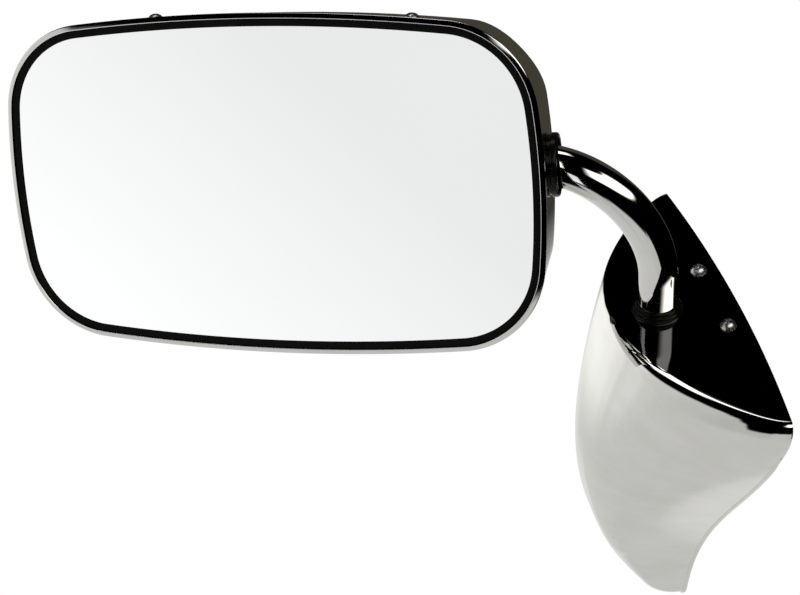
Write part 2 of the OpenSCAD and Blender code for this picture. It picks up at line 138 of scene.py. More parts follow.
def stand_in(obj, body, node):
    """Makes the object ride its body and replace the CAD node, with that node's material slot."""
    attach(obj, body)
    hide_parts(node)
    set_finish(obj, slot_of[node])


def mesh_object(name, verts, faces, place, body, node):
    """A closed or open mesh from points in millimetres in the frame `place`."""
    mesh = bpy.data.meshes.new(name)
    mesh.from_pydata([place @ (Vector(v) * MM) for v in verts], [], faces)
    bm = bmesh.new()
    bm.from_mesh(mesh)
    bmesh.ops.remove_doubles(bm, verts=bm.verts, dist=0.002 * MM)
    bmesh.ops.dissolve_degenerate(bm, dist=0.001 * MM, edges=bm.edges)
    bmesh.ops.recalc_face_normals(bm, faces=bm.faces)
    for f in bm.faces:
        f.smooth = True
    bm.to_mesh(mesh)
    bm.free()
    obj = bpy.data.objects.new(name, mesh)
    bpy.context.scene.collection.objects.link(obj)
    stand_in(obj, body, node)
    return obj


def grid_faces(rows, cols, close_rows=False, close_cols=False):
    """Quads between the neighbouring points of a grid, row by row."""
    faces = []
    for i in range(rows if close_rows else rows - 1):
        for j in range(cols if close_cols else cols - 1):
            a, b = i * cols, ((i + 1) % rows) * cols
            k = (j + 1) % cols
            faces.append((a + j, a + k, b + k, b + j))
    return faces


def lathe(profile, steps):
    """Closed profile of (radius, height) turned about z."""
    verts = []
    for i in range(steps):
        a = 2 * math.pi * i / steps
        verts += [(r * math.cos(a), r * math.sin(a), h) for r, h in profile]
    return verts, grid_faces(steps, len(profile), True, True)


def rounded(points, reaches, steps):
    """Polygon with each corner drawn as an arc-like curve of the given reach."""
    out = []
    n = len(points)
    for i, (p, r) in enumerate(zip(points, reaches)):
        p = Vector(p)
        a, b = Vector(points[i - 1]), Vector(points[(i + 1) % n])
        if r == 0:
            out.append(tuple(p))
            continue
        s, e = p + (a - p).normalized() * r, p + (b - p).normalized() * r
        for k in range(steps + 1):
            t = k / steps
            out.append(tuple(s * (1 - t) ** 2 + p * 2 * t * (1 - t) + e * t ** 2))
    return out


def sharpen(obj, degrees):
    """Smooth shading, with the edges sharper than the angle kept sharp."""
    bm = bmesh.new()
    bm.from_mesh(obj.data)
    limit = math.radians(degrees)
    for e in bm.edges:
        if len(e.link_faces) == 2 and e.calc_face_angle(0) > limit:
            e.smooth = False
    for f in bm.faces:
        f.smooth = True
    bm.to_mesh(obj.data)
    bm.free()


def face_out(obj, inside):
    """Turns the skin so that its faces look away from a point inside it."""
    mesh = obj.data
    total = sum((p.center - inside).dot(p.normal) * p.area for p in mesh.polygons)
    if total < 0:
        mesh.flip_normals()


def thicken(obj, amount):
    """Gives an open skin its sheet thickness, inwards."""
    mod = obj.modifiers.new("sheet", "SOLIDIFY")
    mod.thickness = amount * MM
    mod.offset = -1
    mod.use_even_offset = True


def soften_edges(obj, width, degrees):
    """Small rounded edges where faces meet at more than the angle."""
    mod = obj.modifiers.new("edges", "BEVEL")
    mod.width = width * MM
    mod.segments = 2
    mod.limit_method = "ANGLE"
    mod.angle_limit = math.radians(degrees)


def apply_modifiers(obj):
    """Replaces the mesh with the one its modifiers give."""
    bpy.context.view_layer.update()
    graph = bpy.context.evaluated_depsgraph_get()
    mesh = bpy.data.meshes.new_from_object(obj.evaluated_get(graph))
    old = obj.data
    obj.modifiers.clear()
    obj.data = mesh
    bpy.data.meshes.remove(old)


def cut_away(obj, tool, crossing=False):
    """Takes the tool's volume out of the object; crossing says that the tool meets itself."""
    mod = obj.modifiers.new("cut", "BOOLEAN")
    mod.operation = "DIFFERENCE"
    mod.solver = "EXACT"
    mod.use_self = crossing
    mod.object = tool
    apply_modifiers(obj)
    bpy.data.objects.remove(tool)


def drill(obj, holes):
    """Cuts round holes through the skin at each (place, radius), along the place's z."""
    bm = bmesh.new()
    for place, r in holes:
        bmesh.ops.create_cone(bm, cap_ends=True, segments=48, radius1=r * MM, radius2=r * MM,
                              depth=DRILL_LENGTH * MM, matrix=place)
    cut_away(obj, object_from(bm, "drill"))


# ---------------------------------------------------------------- base cover

PIVOT_REACH = 38.3       # from the swivel axis to the door edge of the flat top
LEAN = math.acos(swivel_axis.z)
COVER_H = 190
COVER_HALF = 93
COVER_DEPTH = 61.5
COVER_MID = -5.5         # y of the cover's middle, measured from the swivel axis
COVER_TIP = 18.8         # half length at the toe
TAPER_LEAD = 0.085       # how far along its curve the taper of the sides starts at the top
EDGE_R = 6.4             # round edge between the flat top and the sides
END_INSET = 1.15         # the round edge draws the ends in this much more than the middle
EDGE_BOW = 5.4           # how far the door edge stands off the door at both ends
REAR_DROP = 8            # how much deeper the round edge reaches at the rear end
END_WALL = 5             # depth of the blunt wall at both ends
END_POWER = 22
TOE = 0.06               # share of the height that the rounded toe takes
COVER_T = 1.2
PIVOT_HOLE_R = 11.2
SCREW_HOLE_R = 2.7
BEAD_R = 0.95            # rolled edge along the door side
BEAD_SINK = 0.9
COVER_SCREWS = [shifted(BASE, 28.3, y, 0) for y in (-21, 21)]


def smoothstep(x):
    t = min(max(x, 0), 1)
    return t * t * (3 - 2 * t)


# In the functions below s is the share of the cover's height counted from the top, and v runs
# from -1 at the rear end to 1 at the front end.

def half_len(s):
    """Half the cover's length along the door."""
    return COVER_HALF - (COVER_HALF - COVER_TIP) * smoothstep(s + TAPER_LEAD)


def stand_out(s):
    """How far the middle of the side wall stands out from the door edge."""
    return COVER_DEPTH * (1 + 0.81 * s - 1.2 * s * s - 0.41 * s ** 3)


def fullness(s):
    """Power of the side wall's section: higher is squarer."""
    return 2.2 + 5.8 * min(s, 0.75) ** 3


def door_edge_x(depth, v, w):
    """The door edge follows the door's face, which leans in the swivel's frame."""
    return PIVOT_REACH - math.tan(LEAN) * depth - EDGE_BOW * v * v * w / COVER_HALF


def side_out(s, v, d):
    """Section of the side wall: blunt at the door, full in the middle."""
    e = min(END_WALL, d / 3)
    return (d - e) * (1 - abs(v) ** fullness(s)) + e * math.sqrt(max(0, 1 - abs(v) ** END_POWER))


def edge_share(v):
    """The round edge of the flat top is tighter at the front than at the rear."""
    return 0.5 + 0.5 * smoothstep((-v - 0.05) / 0.5)


def row_depth(h, v):
    """The round edge reaches further down towards the rear end."""
    f = REAR_DROP * smoothstep((-v - 0.3) / 0.7) - EDGE_R * (1 - edge_share(v))
    if h < EDGE_R:
        return h * (1 + f / EDGE_R)
    return h + f * (COVER_H - h) / (COVER_H - EDGE_R)


def cover_point(h, v, inset, k):
    """Point of the skin at depth h; inset draws it in round the top and k < 1 closes the toe."""
    depth = row_depth(h, v)
    inset *= edge_share(v)
    s = depth / COVER_H
    w = k * (half_len(s) - END_INSET * inset)
    d = k * (stand_out(s) - inset)
    return (door_edge_x(depth, v, w) - side_out(s, v, d), COVER_MID + v * w, -depth)


def cover_rows():
    """(depth, inset, k) of each row: round edge, body, then toe."""
    arc, body, toe = 14, 70, 14
    low = COVER_H * (1 - TOE)
    rows = []
    for i in range(arc):
        a = math.radians(90 - 90 * i / arc)
        rows.append((EDGE_R * (1 - math.sin(a)), EDGE_R * (1 - math.cos(a)), 1))
    for i in range(body + 1):
        rows.append((EDGE_R + (low - EDGE_R) * i / body, 0, 1))
    for i in range(1, toe + 1):
        a = math.radians(82 * i / toe)
        rows.append((low + COVER_H * TOE * math.sin(a), 0, math.cos(a)))
    return rows


def make_cover():
    """Hollow cover, open on the door side: flat top, round edge, sides and toe in one skin."""
    cols = 161
    flat_rows = 12
    vs = [math.sin(math.pi * (j / (cols - 1) - 0.5)) for j in range(cols)]
    verts = []
    for i in range(flat_rows):
        t = i / flat_rows
        for v in vs:
            x, y, z = cover_point(0, v, EDGE_R, 1)
            edge = door_edge_x(0, v, half_len(0) - END_INSET * EDGE_R * edge_share(v))
            verts.append((edge + (x - edge) * t, y, z))
    rows = cover_rows()
    for depth, inset, k in rows:
        verts += [cover_point(depth, v, inset, k) for v in vs]
    obj = mesh_object("base_cover_skin", verts, grid_faces(flat_rows + len(rows), cols),
                      BASE, "base", "base_cover")
    face_out(obj, shifted(BASE, 0, 0, -60).translation)
    thicken(obj, COVER_T)
    drill(obj, [(BASE, PIVOT_HOLE_R)] + [(m, SCREW_HOLE_R) for m in COVER_SCREWS])
    sharpen(obj, 50)
    return obj


def make_cover_edge():
    """Rolled edge along both door edges below the round one, joined round the toe."""
    rows = [r for r in cover_rows() if r[0] > 2 * EDGE_R]
    rear = [cover_point(h, -1, inset, k) for h, inset, k in rows]
    front = [cover_point(h, 1, inset, k) for h, inset, k in rows]
    line = [Vector(p) for p in rear + front[::-1]]
    sides = 12
    taper = 5            # rows over which the bead thins out at both ends
    sink = Vector((BEAD_SINK, 0, 0))
    n = len(line)
    verts = []
    for i, p in enumerate(line):
        along = (line[min(i + 1, n - 1)] - line[max(i - 1, 0)]).normalized()
        side = along.cross(Vector((1, 0, 0))).normalized()
        up = side.cross(along).normalized()
        r = BEAD_R * math.sqrt(min(1, (min(i, n - 1 - i) + 0.05) / taper))
        for j in range(sides):
            b = 2 * math.pi * j / sides
            verts.append(p + (side * math.cos(b) + up * math.sin(b)) * r - sink)
    faces = grid_faces(n, sides, False, True)
    faces += [tuple(range(sides)), tuple((n - 1) * sides + j for j in range(sides))]
    return mesh_object("base_cover_edge", verts, faces, BASE, "base", "base_cover")


# ---------------------------------------------------------------- head

HALF_W, HALF_H = 135.8, 82.2
TOP_R, END_R, CORNER_R = 945, 350, 45
TOP_Z, END_X = HALF_H - TOP_R, HALF_W - END_R
END_DRAFT, TOP_DRAFT = math.radians(9), math.radians(8)
CORNER_SLOPE = 0.05      # extra slope of the shell's wall round its corners
SHELL_D, SHELL_FRONT, SHELL_T = 62, 1, 1.2
BACK_R, BACK_CROWN = 18, 5
SCREW_X = (-55, 74)
SCREW_Y = 10.5
COLLAR_Y, COLLAR_Z = 29.6, 5.2
COLLAR_HOLE_R = 14.25
SHELL_HOLE_R = 2.2


def corner_centre():
    """Centre of the corner arc that touches both the end arc and the top arc from inside."""
    a, b = TOP_R - CORNER_R, END_R - CORNER_R
    d = math.hypot(END_X, TOP_Z)
    k = (a * a - b * b + d * d) / (2 * d)
    q = math.sqrt(a * a - k * k)
    ux, uz = END_X / d, -TOP_Z / d
    return (k * ux + q * uz, TOP_Z + k * uz - q * ux)


CORNER = corner_centre()
END_STOP = math.atan2(CORNER[1], CORNER[0] - END_X)
TOP_START = math.atan2(CORNER[1] - TOP_Z, CORNER[0])


def outline_at(a, inset):
    """Point of the head's outline that faces direction a, drawn in by inset."""
    c, s = math.cos(a), math.sin(a)
    b = math.atan2(abs(s), abs(c))
    if b < END_STOP:
        centre, r = (END_X, 0), END_R
    elif b < TOP_START:
        centre, r = CORNER, CORNER_R
    else:
        centre, r = (0, TOP_Z), TOP_R
    r -= inset
    return (math.copysign(centre[0] + r * math.cos(b), c),
            math.copysign(centre[1] + r * math.sin(b), s))


def quarter_turns(n):
    """n + 1 directions from 0 to a quarter turn, closer together round the corner."""
    stops = ((0, 0), (0.22, END_STOP), (0.72, TOP_START), (1, math.pi / 2))
    out = []
    for i in range(n + 1):
        u = i / n
        for (u0, a0), (u1, a1) in zip(stops, stops[1:]):
            if u <= u1:
                out.append(a0 + (a1 - a0) * (u - u0) / (u1 - u0))
                break
    return out


def directions(n):
    """4 n directions all the way round."""
    q = quarter_turns(n)
    half = q[:-1] + [math.pi - a for a in reversed(q)][:-1]
    return half + [a + math.pi for a in half]


def shell_rows(a):
    """(inset, depth, scale) down one meridian of the shell, from the front edge to the back."""
    wall, arc, crown = 12, 16, 24
    slope = math.tan(END_DRAFT) * math.cos(a) ** 2 + math.tan(TOP_DRAFT) * math.sin(a) ** 2
    slope += CORNER_SLOPE * math.sin(2 * a) ** 2
    d = math.atan(slope)
    deep = SHELL_D - BACK_CROWN
    cy = deep - BACK_R
    inset = (cy - SHELL_FRONT) * slope + BACK_R / math.cos(d)
    first = inset - BACK_R * math.cos(d)
    depth = cy + BACK_R * math.sin(d)
    out = []
    for i in range(wall):
        t = i / wall
        out.append((first * t, SHELL_FRONT + (depth - SHELL_FRONT) * t, 1))
    for i in range(arc + 1):
        b = d + (math.pi / 2 - d) * i / arc
        out.append((inset - BACK_R * math.cos(b), cy + BACK_R * math.sin(b), 1))
    for i in range(1, crown):
        k = 1 - i / crown
        out.append((inset, deep + BACK_CROWN * (1 - k * k) ** 2, k))
    return out


def make_shell():
    """Pressed bowl behind the glass, with its holes for the arm and the two screws."""
    turns = directions(36)
    n = len(turns)
    meridians = [shell_rows(a) for a in turns]
    rows = len(meridians[0])
    verts = []
    for i in range(rows):
        for a, m in zip(turns, meridians):
            inset, y, k = m[i]
            x, z = outline_at(a, inset)
            verts.append((k * x, y, k * z))
    faces = grid_faces(rows, n, False, True)
    verts.append((0, SHELL_D, 0))
    last = (rows - 1) * n
    faces += [(last + i, last + (i + 1) % n, len(verts) - 1) for i in range(n)]
    obj = mesh_object("head_shell_skin", verts, faces, HEAD, "head", "head_shell")
    face_out(obj, shifted(HEAD, 0, 20, 0).translation)
    thicken(obj, SHELL_T)
    drill(obj, [(COLLAR, COLLAR_HOLE_R)] + [(m, SHELL_HOLE_R) for m in SHELL_SCREWS])
    sharpen(obj, 50)
    return obj


def sweep_outline(name, section, node):
    """Closed (inset, depth) section carried round the head's outline."""
    verts = []
    turns = directions(80)
    for a in turns:
        for inset, y in section:
            x, z = outline_at(a, inset)
            verts.append((x, y, z))
    obj = mesh_object(name, verts, grid_faces(len(turns), len(section), True, True),
                      HEAD, "head", node)
    sharpen(obj, 60)
    return obj


def make_rim():
    """Chrome bead round the glass; its face slopes back towards the outside."""
    section = rounded(
        [(-0.35, 0.9), (-0.65, -0.4), (2.1, -1.45), (2.1, 3.9), (1.5, 3.9), (1.5, 0.9)],
        [0.15, 0.7, 0.55, 0.2, 0.2, 0], 9)
    return sweep_outline("rim_bead", section, "rim_trim")


def make_seal():
    """Black rubber lip over the glass's edge, and its wall between the glass and the bead."""
    section = rounded(
        [(2.15, 0.4), (2.2, -0.4), (5.8, -0.45), (5.8, -0.02), (4.35, -0.02), (4.35, 3), (2.15, 3)],
        [0.2, 0.35, 0.3, 0, 0, 0.1, 0.2], 6)
    return sweep_outline("glass_seal_lip", section, "glass_seal")


def screw_places():
    """A frame on the shell's top at each screw, z outwards."""
    out = []
    for x in SCREW_X:
        r = TOP_R - (SCREW_Y - SHELL_FRONT) * math.tan(TOP_DRAFT)
        z = TOP_Z + math.sqrt(r * r - x * x)
        lean = Matrix.Rotation(-TOP_DRAFT, 4, "X") @ Matrix.Rotation(math.asin(x / r), 4, "Y")
        out.append(shifted(HEAD, x, SCREW_Y, z) @ lean)
    return out


def collar_place():
    """A frame on the shell's end wall where the arm enters, z outwards."""
    x = HALF_W - (COLLAR_Y - SHELL_FRONT) * math.tan(END_DRAFT)
    turn = Matrix.Rotation(END_DRAFT, 4, "Z") @ Matrix.Rotation(math.pi / 2, 4, "Y")
    return shifted(HEAD, x, COLLAR_Y, COLLAR_Z) @ turn


SHELL_SCREWS = screw_places()
COLLAR = collar_place()


def make_collar():
    """Rubber grommet in the shell's end wall."""
    profile = rounded(
        [(13.2, -1.6), (14.2, -1.6), (14.2, 0.6), (15.2, 0.4), (15, 3.9), (13.2, 3.9)],
        [0.3, 0.3, 0, 0.9, 1.2, 0.6], 8)
    verts, faces = lathe(profile, 112)
    obj = mesh_object("collar_ring", verts, faces, COLLAR, "head", "collar")
    sharpen(obj, 50)
    return obj


# ---------------------------------------------------------------- arm

TUBE_R = 19.05 / 2
TUBE_IN_R = TUBE_R - 1.6
FOOT = 3                 # height of the tube's lower end
RISER = 22               # height at which the bend starts
BEND = 51
TUBE_END = 1.9           # straight length after the bend
END_TRIM = 0.3           # the tube's ends are broken by this much
RING_R = 12.4
RING_STEP = 1.75         # height of each of the foot ring's three steps
RING_SHRINK = 0.95       # how much each step is smaller than the one below
RING_GAP = 0.08
SPRING_R = 9
SPRING_WIRE_R = 1.2
SPRING_H = 13
SPRING_TURNS = 4
SPRING_FOOT = -36.5      # height of the spring's lower end


def arm_line():
    """Centre points of the tube with the direction at each, in the arm's frame."""
    out = []
    for i in range(17):
        out.append(((0, 0, FOOT + (RISER - FOOT) * i / 16), 0))
    for i in range(1, 73):
        a = math.radians(90) * i / 72
        out.append(((BEND * (1 - math.cos(a)), 0, RISER + BEND * math.sin(a)), a))
    for i in range(1, 5):
        out.append(((BEND + TUBE_END * i / 4, 0, RISER + BEND), math.pi / 2))
    return out


def make_tube():
    """Bent tube: the outer skin one way, then the bore back."""
    sides = 80
    line = arm_line()
    ends = (0, len(line) - 1)
    verts = []
    for radius, trim, points in ((TUBE_R, -END_TRIM, line), (TUBE_IN_R, END_TRIM, line[::-1])):
        for i, ((x, y, z), a) in enumerate(points):
            r = radius + (trim if i in ends else 0)
            for j in range(sides):
                b = 2 * math.pi * j / sides
                u, v = r * math.cos(b), r * math.sin(b)
                verts.append((x + u * math.cos(a), y + v, z - u * math.sin(a)))
    obj = mesh_object("arm_tube_bend", verts, grid_faces(2 * len(line), sides, True, True),
                      ARM, "arm", "arm_tube")
    sharpen(obj, 50)
    return obj


def make_base_ring():
    """Rubber ring of three steps round the foot of the tube."""
    bore = TUBE_R + RING_GAP
    points, reaches = [(bore, 0)], [0]
    for i in range(3):
        r = RING_R - i * RING_SHRINK
        points += [(r, i * RING_STEP), (r, (i + 1) * RING_STEP)]
        reaches += [0.3, 0.6]
    points.append((bore, 3 * RING_STEP))
    reaches.append(0.3)
    verts, faces = lathe(rounded(points, reaches, 6), 112)
    obj = mesh_object("base_ring_turned", verts, faces, BASE, "base", "base_ring")
    sharpen(obj, 50)
    return obj


def make_spring():
    """Round-wire spring on the pivot stud, under the door bracket."""
    steps, sides = 40, 12
    n = SPRING_TURNS * steps
    rise = SPRING_H - 2 * SPRING_WIRE_R
    verts = []
    for i in range(n + 1):
        a = 2 * math.pi * i / steps
        z = SPRING_WIRE_R + rise * i / n
        for j in range(sides):
            b = 2 * math.pi * j / sides
            r = SPRING_R + SPRING_WIRE_R * math.cos(b)
            verts.append((r * math.cos(a), r * math.sin(a), z + SPRING_WIRE_R * math.sin(b)))
    faces = grid_faces(n + 1, sides, False, True)
    faces += [tuple(range(sides)), tuple(n * sides + j for j in range(sides))]
    obj = mesh_object("pivot_spring_wire", verts, faces, shifted(ARM, 0, 0, SPRING_FOOT),
                      "arm", "pivot_spring")
    sharpen(obj, 60)
    return obj


# ---------------------------------------------------------------- screws

def domed_screw(head_r, head_h, shank_r, shank_l):
    """Domed head with a cross recess and a shank, as an object in millimetres."""
    steps, arc = 64, 14
    sunk, chamfer = 0.02, 0.5
    dome_r = (head_r ** 2 + head_h ** 2) / (2 * head_h)
    profile = []
    reach = math.asin(head_r / dome_r)
    for i in range(arc + 1):
        a = reach * i / arc
        profile.append((dome_r * math.sin(a), head_h - dome_r + dome_r * math.cos(a)))
    profile += [(head_r, -sunk), (shank_r, -sunk), (shank_r, -shank_l + chamfer),
                (shank_r - chamfer, -shank_l), (0, -shank_l)]
    bm = bmesh.new()
    rings = []
    for r, h in profile:
        if r == 0:
            rings.append([bm.verts.new((0, 0, h))])
        else:
            rings.append([bm.verts.new((r * math.cos(2 * math.pi * j / steps),
                                        r * math.sin(2 * math.pi * j / steps), h))
                          for j in range(steps)])
    for a, b in zip(rings, rings[1:]):
        for j in range(steps):
            k = (j + 1) % steps
            corners = [a[j % len(a)], a[k % len(a)], b[k % len(b)], b[j % len(b)]]
            unique = list(dict.fromkeys(corners))
            if len(unique) > 2:
                bm.faces.new(unique)
    bmesh.ops.recalc_face_normals(bm, faces=bm.faces)
    obj = object_from(bm, "screw")
    cut_cross(obj, head_r * 0.85, head_h)
    return obj


def cut_cross(obj, size, head_h):
    """Tapered cross recess in the top of the head."""
    bm = bmesh.new()
    for turn in (0, math.pi / 2):
        top, low = size * 0.56, size * 0.2
        w_top, w_low = size * 0.13, size * 0.07
        z_top, z_low = head_h + 0.5, head_h * 0.35
        spots = [(x * s, y * t, z) for x, y, z in
                 ((top, w_top, z_top), (low, w_low, z_low)) for s in (-1, 1) for t in (-1, 1)]
        made = [bm.verts.new(Matrix.Rotation(turn, 3, "Z") @ Vector(p)) for p in spots]
        bmesh.ops.convex_hull(bm, input=made)
    cut_away(obj, object_from(bm, "cross"), crossing=True)


def make_screws(name, places, turns, size, body, node):
    """The same screw at each place, each turned its own way, as one piece."""
    bm = bmesh.new()
    for place, turn in zip(places, turns):
        one = domed_screw(*size)
        one.data.transform(place @ Matrix.Rotation(turn, 4, "Z") @ Matrix.Scale(MM, 4))
        bm.from_mesh(one.data)
        bpy.data.objects.remove(one)
    obj = object_from(bm, name)
    stand_in(obj, body, node)
    sharpen(obj, 35)
    soften_edges(obj, 0.12, 40)
    return obj


# ---------------------------------------------------------------- materials

def material(name):
    """New material with its node tree and its shader."""
    mat = bpy.data.materials.new(name)
    mat.use_nodes = True
    tree = mat.node_tree
    return mat, tree, tree.nodes["Principled BSDF"]


def add(tree, kind, **values):
    """Adds a node; each value goes to the input or the property of that name."""
    node = tree.nodes.new(kind)
    for key, value in values.items():
        if key in node.inputs:
            node.inputs[key].default_value = value
        else:
            setattr(node, key, value)
    return node


def noise(tree, scale, detail, rough, stretch=(1, 1, 1)):
    """Noise in object space; scale is in features per metre."""
    coords = add(tree, "ShaderNodeTexCoord")
    mapping = add(tree, "ShaderNodeMapping")
    mapping.inputs["Scale"].default_value = stretch
    tree.links.new(coords.outputs["Object"], mapping.inputs["Vector"])
    tex = add(tree, "ShaderNodeTexNoise")
    tex.inputs["Scale"].default_value = scale
    tex.inputs["Detail"].default_value = detail
    tex.inputs["Roughness"].default_value = rough
    tree.links.new(mapping.outputs["Vector"], tex.inputs["Vector"])
    return tex.outputs["Fac"]


def spread(tree, value, low, high, start=0.3, end=0.7):
    """Maps a value from start..end to low..high."""
    node = add(tree, "ShaderNodeMapRange")
    node.inputs["From Min"].default_value = start
    node.inputs["From Max"].default_value = end
    node.inputs["To Min"].default_value = low
    node.inputs["To Max"].default_value = high
    tree.links.new(value, node.inputs["Value"])
    return node.outputs["Result"]


def blend_colours(tree, fac, a, b):
    """Colour a where fac is 0, colour b where it is 1."""
    mix = add(tree, "ShaderNodeMix", data_type="RGBA")
    mix.inputs[6].default_value = (*a, 1)
    mix.inputs[7].default_value = (*b, 1)
    tree.links.new(fac, mix.inputs[0])
    return mix.outputs[2]


def bump(tree, shader, layers):
    """Chains bump layers of (height, strength, distance in metres)."""
    normal = None
    for height, strength, distance in layers:
        node = add(tree, "ShaderNodeBump")
        node.inputs["Strength"].default_value = strength
        node.inputs["Distance"].default_value = distance
        tree.links.new(height, node.inputs["Height"])
        if normal:
            tree.links.new(normal, node.inputs["Normal"])
        normal = node.outputs["Normal"]
    tree.links.new(normal, shader.inputs["Normal"])


def bright_metal(name, colour, rough, smudge, wave=0.0, grain=0.0, tint=None):
    """Polished plating: faint wiping marks, with long shallow waves and a fine grain if given."""
    mat, tree, shader = material(name)
    shader.inputs["Metallic"].default_value = 1
    dark = tint or tuple(c * 0.93 for c in colour)
    wipe = noise(tree, 38, 5, 0.6, (1, 1, 2.2))
    tree.links.new(blend_colours(tree, spread(tree, wipe, 0, 1), colour, dark),
                   shader.inputs["Base Color"])
    tree.links.new(spread(tree, noise(tree, 60, 6, 0.65), rough, rough + smudge, 0.45, 0.8),
                   shader.inputs["Roughness"])
    layers = [(noise(tree, 16, 2, 0.4), 1.0, wave * MM)] if wave else []
    if grain:
        layers.append((noise(tree, 2600, 2, 0.5), 1.0, grain * MM))
    if layers:
        bump(tree, shader, layers)
    return mat


def plated_steel(name, colour, stain, rough):
    """Zinc plate or plain steel: mottled, lightly scratched, brighter on its edges."""
    mat, tree, shader = material(name)
    shader.inputs["Metallic"].default_value = 1
    mottle = spread(tree, noise(tree, 190, 6, 0.7), 0, 1)
    base = blend_colours(tree, mottle, colour, stain)
    edge = add(tree, "ShaderNodeNewGeometry").outputs["Pointiness"]
    lift = add(tree, "ShaderNodeMix", data_type="RGBA")
    lift.inputs[7].default_value = (*[min(1, c * 1.35) for c in colour], 1)
    tree.links.new(spread(tree, edge, 0, 1, 0.505, 0.56), lift.inputs[0])
    tree.links.new(base, lift.inputs[6])
    tree.links.new(lift.outputs[2], shader.inputs["Base Color"])
    tree.links.new(spread(tree, noise(tree, 120, 5, 0.6), rough, rough + 0.2),
                   shader.inputs["Roughness"])
    bump(tree, shader, [(noise(tree, 900, 4, 0.6, (1, 6, 1)), 0.12, 0.02 * MM),
                        (noise(tree, 3500, 2, 0.5), 0.08, 0.01 * MM)])
    return mat


def moulded(name, colour, rough, grain_scale, grain_depth, gloss=0.5, lift=1.8, sheen=0.0):
    """Plastic or rubber: fine moulded grain and a dusty variation."""
    mat, tree, shader = material(name)
    dust = spread(tree, noise(tree, 70, 6, 0.7), 0, 1, 0.4, 0.75)
    base = blend_colours(tree, dust, colour, tuple(min(1, c * lift) for c in colour))
    tree.links.new(base, shader.inputs["Base Color"])
    tree.links.new(spread(tree, noise(tree, 150, 5, 0.6), rough, rough + 0.15),
                   shader.inputs["Roughness"])
    shader.inputs["Specular IOR Level"].default_value = gloss
    shader.inputs["Sheen Weight"].default_value = sheen
    bump(tree, shader, [(noise(tree, grain_scale, 3, 0.55), 0.5, grain_depth * MM)])
    return mat


def foam(name):
    """Dark open-cell foam."""
    mat, tree, shader = material(name)
    coords = add(tree, "ShaderNodeTexCoord")
    cells = add(tree, "ShaderNodeTexVoronoi")
    cells.inputs["Scale"].default_value = 900
    tree.links.new(coords.outputs["Object"], cells.inputs["Vector"])
    walls = cells.outputs["Distance"]
    tree.links.new(blend_colours(tree, walls, (0.05, 0.05, 0.055), (0.15, 0.15, 0.16)),
                   shader.inputs["Base Color"])
    shader.inputs["Roughness"].default_value = 0.95
    bump(tree, shader, [(walls, 0.8, 0.25 * MM)])
    return mat


def shaded_polish(name, bright, dark):
    """The flat top with painted shade: its colour is darkened for camera rays only, so the eye sees a dark mirror
    in it, the parts above it a bright one.
    """
    mat = bright_metal(name, bright, 0.02, 0.03)
    tree = mat.node_tree
    shader = tree.nodes["Principled BSDF"]
    base = shader.inputs["Base Color"].links[0].from_socket
    # painted shade: for camera rays only, the base colour is multiplied by the dark tint
    path = add(tree, "ShaderNodeLightPath")
    mix = add(tree, "ShaderNodeMix", data_type="RGBA", blend_type="MULTIPLY")
    mix.inputs[7].default_value = (*dark, 1)
    tree.links.new(path.outputs["Is Camera Ray"], mix.inputs[0])
    tree.links.new(base, mix.inputs[6])
    tree.links.new(mix.outputs[2], shader.inputs["Base Color"])
    return mat


def mirror(name):
    """Silvered glass: a clean mirror with the faintest haze and dust."""
    mat, tree, shader = material(name)
    shader.inputs["Metallic"].default_value = 1
    haze = spread(tree, noise(tree, 9, 4, 0.5), 0, 1, 0.35, 0.75)
    tree.links.new(blend_colours(tree, haze, (0.965, 0.97, 0.97), (0.955, 0.96, 0.96)),
                   shader.inputs["Base Color"])
    tree.links.new(spread(tree, noise(tree, 24, 6, 0.6), 0.0, 0.02, 0.5, 0.8),
                   shader.inputs["Roughness"])
    return mat


def make_materials():
    """One material for each slot of the record, and one with painted shade for the cover's flat top."""
    chrome = (0.90, 0.90, 0.885)
    return {
        "bright_cover": bright_metal("polished_cover", chrome, 0.03, 0.05, wave=0.015,
                                     tint=(0.84, 0.84, 0.81)),
        "bright_tube": bright_metal("polished_tube", chrome, 0.04, 0.05, grain=0.0006),
        "bright_shell": bright_metal("polished_shell", (0.88, 0.88, 0.86), 0.05, 0.06, wave=0.04),
        "bright_trim": bright_metal("polished_trim", chrome, 0.05, 0.04),
        "fastener": bright_metal("screw_plate", (0.74, 0.73, 0.71), 0.3, 0.1, grain=0.0004),
        "zinc_steel": plated_steel("zinc_plate", (0.62, 0.63, 0.64), (0.52, 0.53, 0.50), 0.36),
        "bracket_steel": plated_steel("bracket_plate", (0.50, 0.51, 0.52), (0.42, 0.43, 0.42),
                                      0.34),
        "spring_steel": plated_steel("spring_wire", (0.20, 0.20, 0.21), (0.12, 0.11, 0.10), 0.30),
        "cast_socket": plated_steel("cast_alloy", (0.55, 0.55, 0.54), (0.44, 0.44, 0.43), 0.46),
        "bush_plastic": moulded("acetal", (0.72, 0.69, 0.60), 0.35, 900, 0.03, lift=1.08),
        "backing_plastic": moulded("backing_plastic", (0.02, 0.02, 0.021), 0.45, 1400, 0.08),
        "gasket_rubber": moulded("sheet_rubber", (0.018, 0.018, 0.018), 0.62, 2200, 0.06,
                                 gloss=0.3, lift=2.2, sheen=0.1),
        "black_rubber": moulded("moulded_rubber", (0.002, 0.002, 0.002), 0.12, 900, 0.003,
                                gloss=0.16, lift=1.6),
        "seal_rubber": moulded("dull_rubber", (0.003, 0.003, 0.003), 0.3, 1400, 0.01,
                               gloss=0.05, lift=1.6),
        # painted shade: the flat top's chrome, darkened for camera rays only
        "camera_shaded_top": shaded_polish("top_polish_with_painted_shade", chrome, (0.09, 0.09, 0.10)),
        "foam": foam("foam_pad"),
        "mirror_glass": mirror("silvered_glass"),
    }


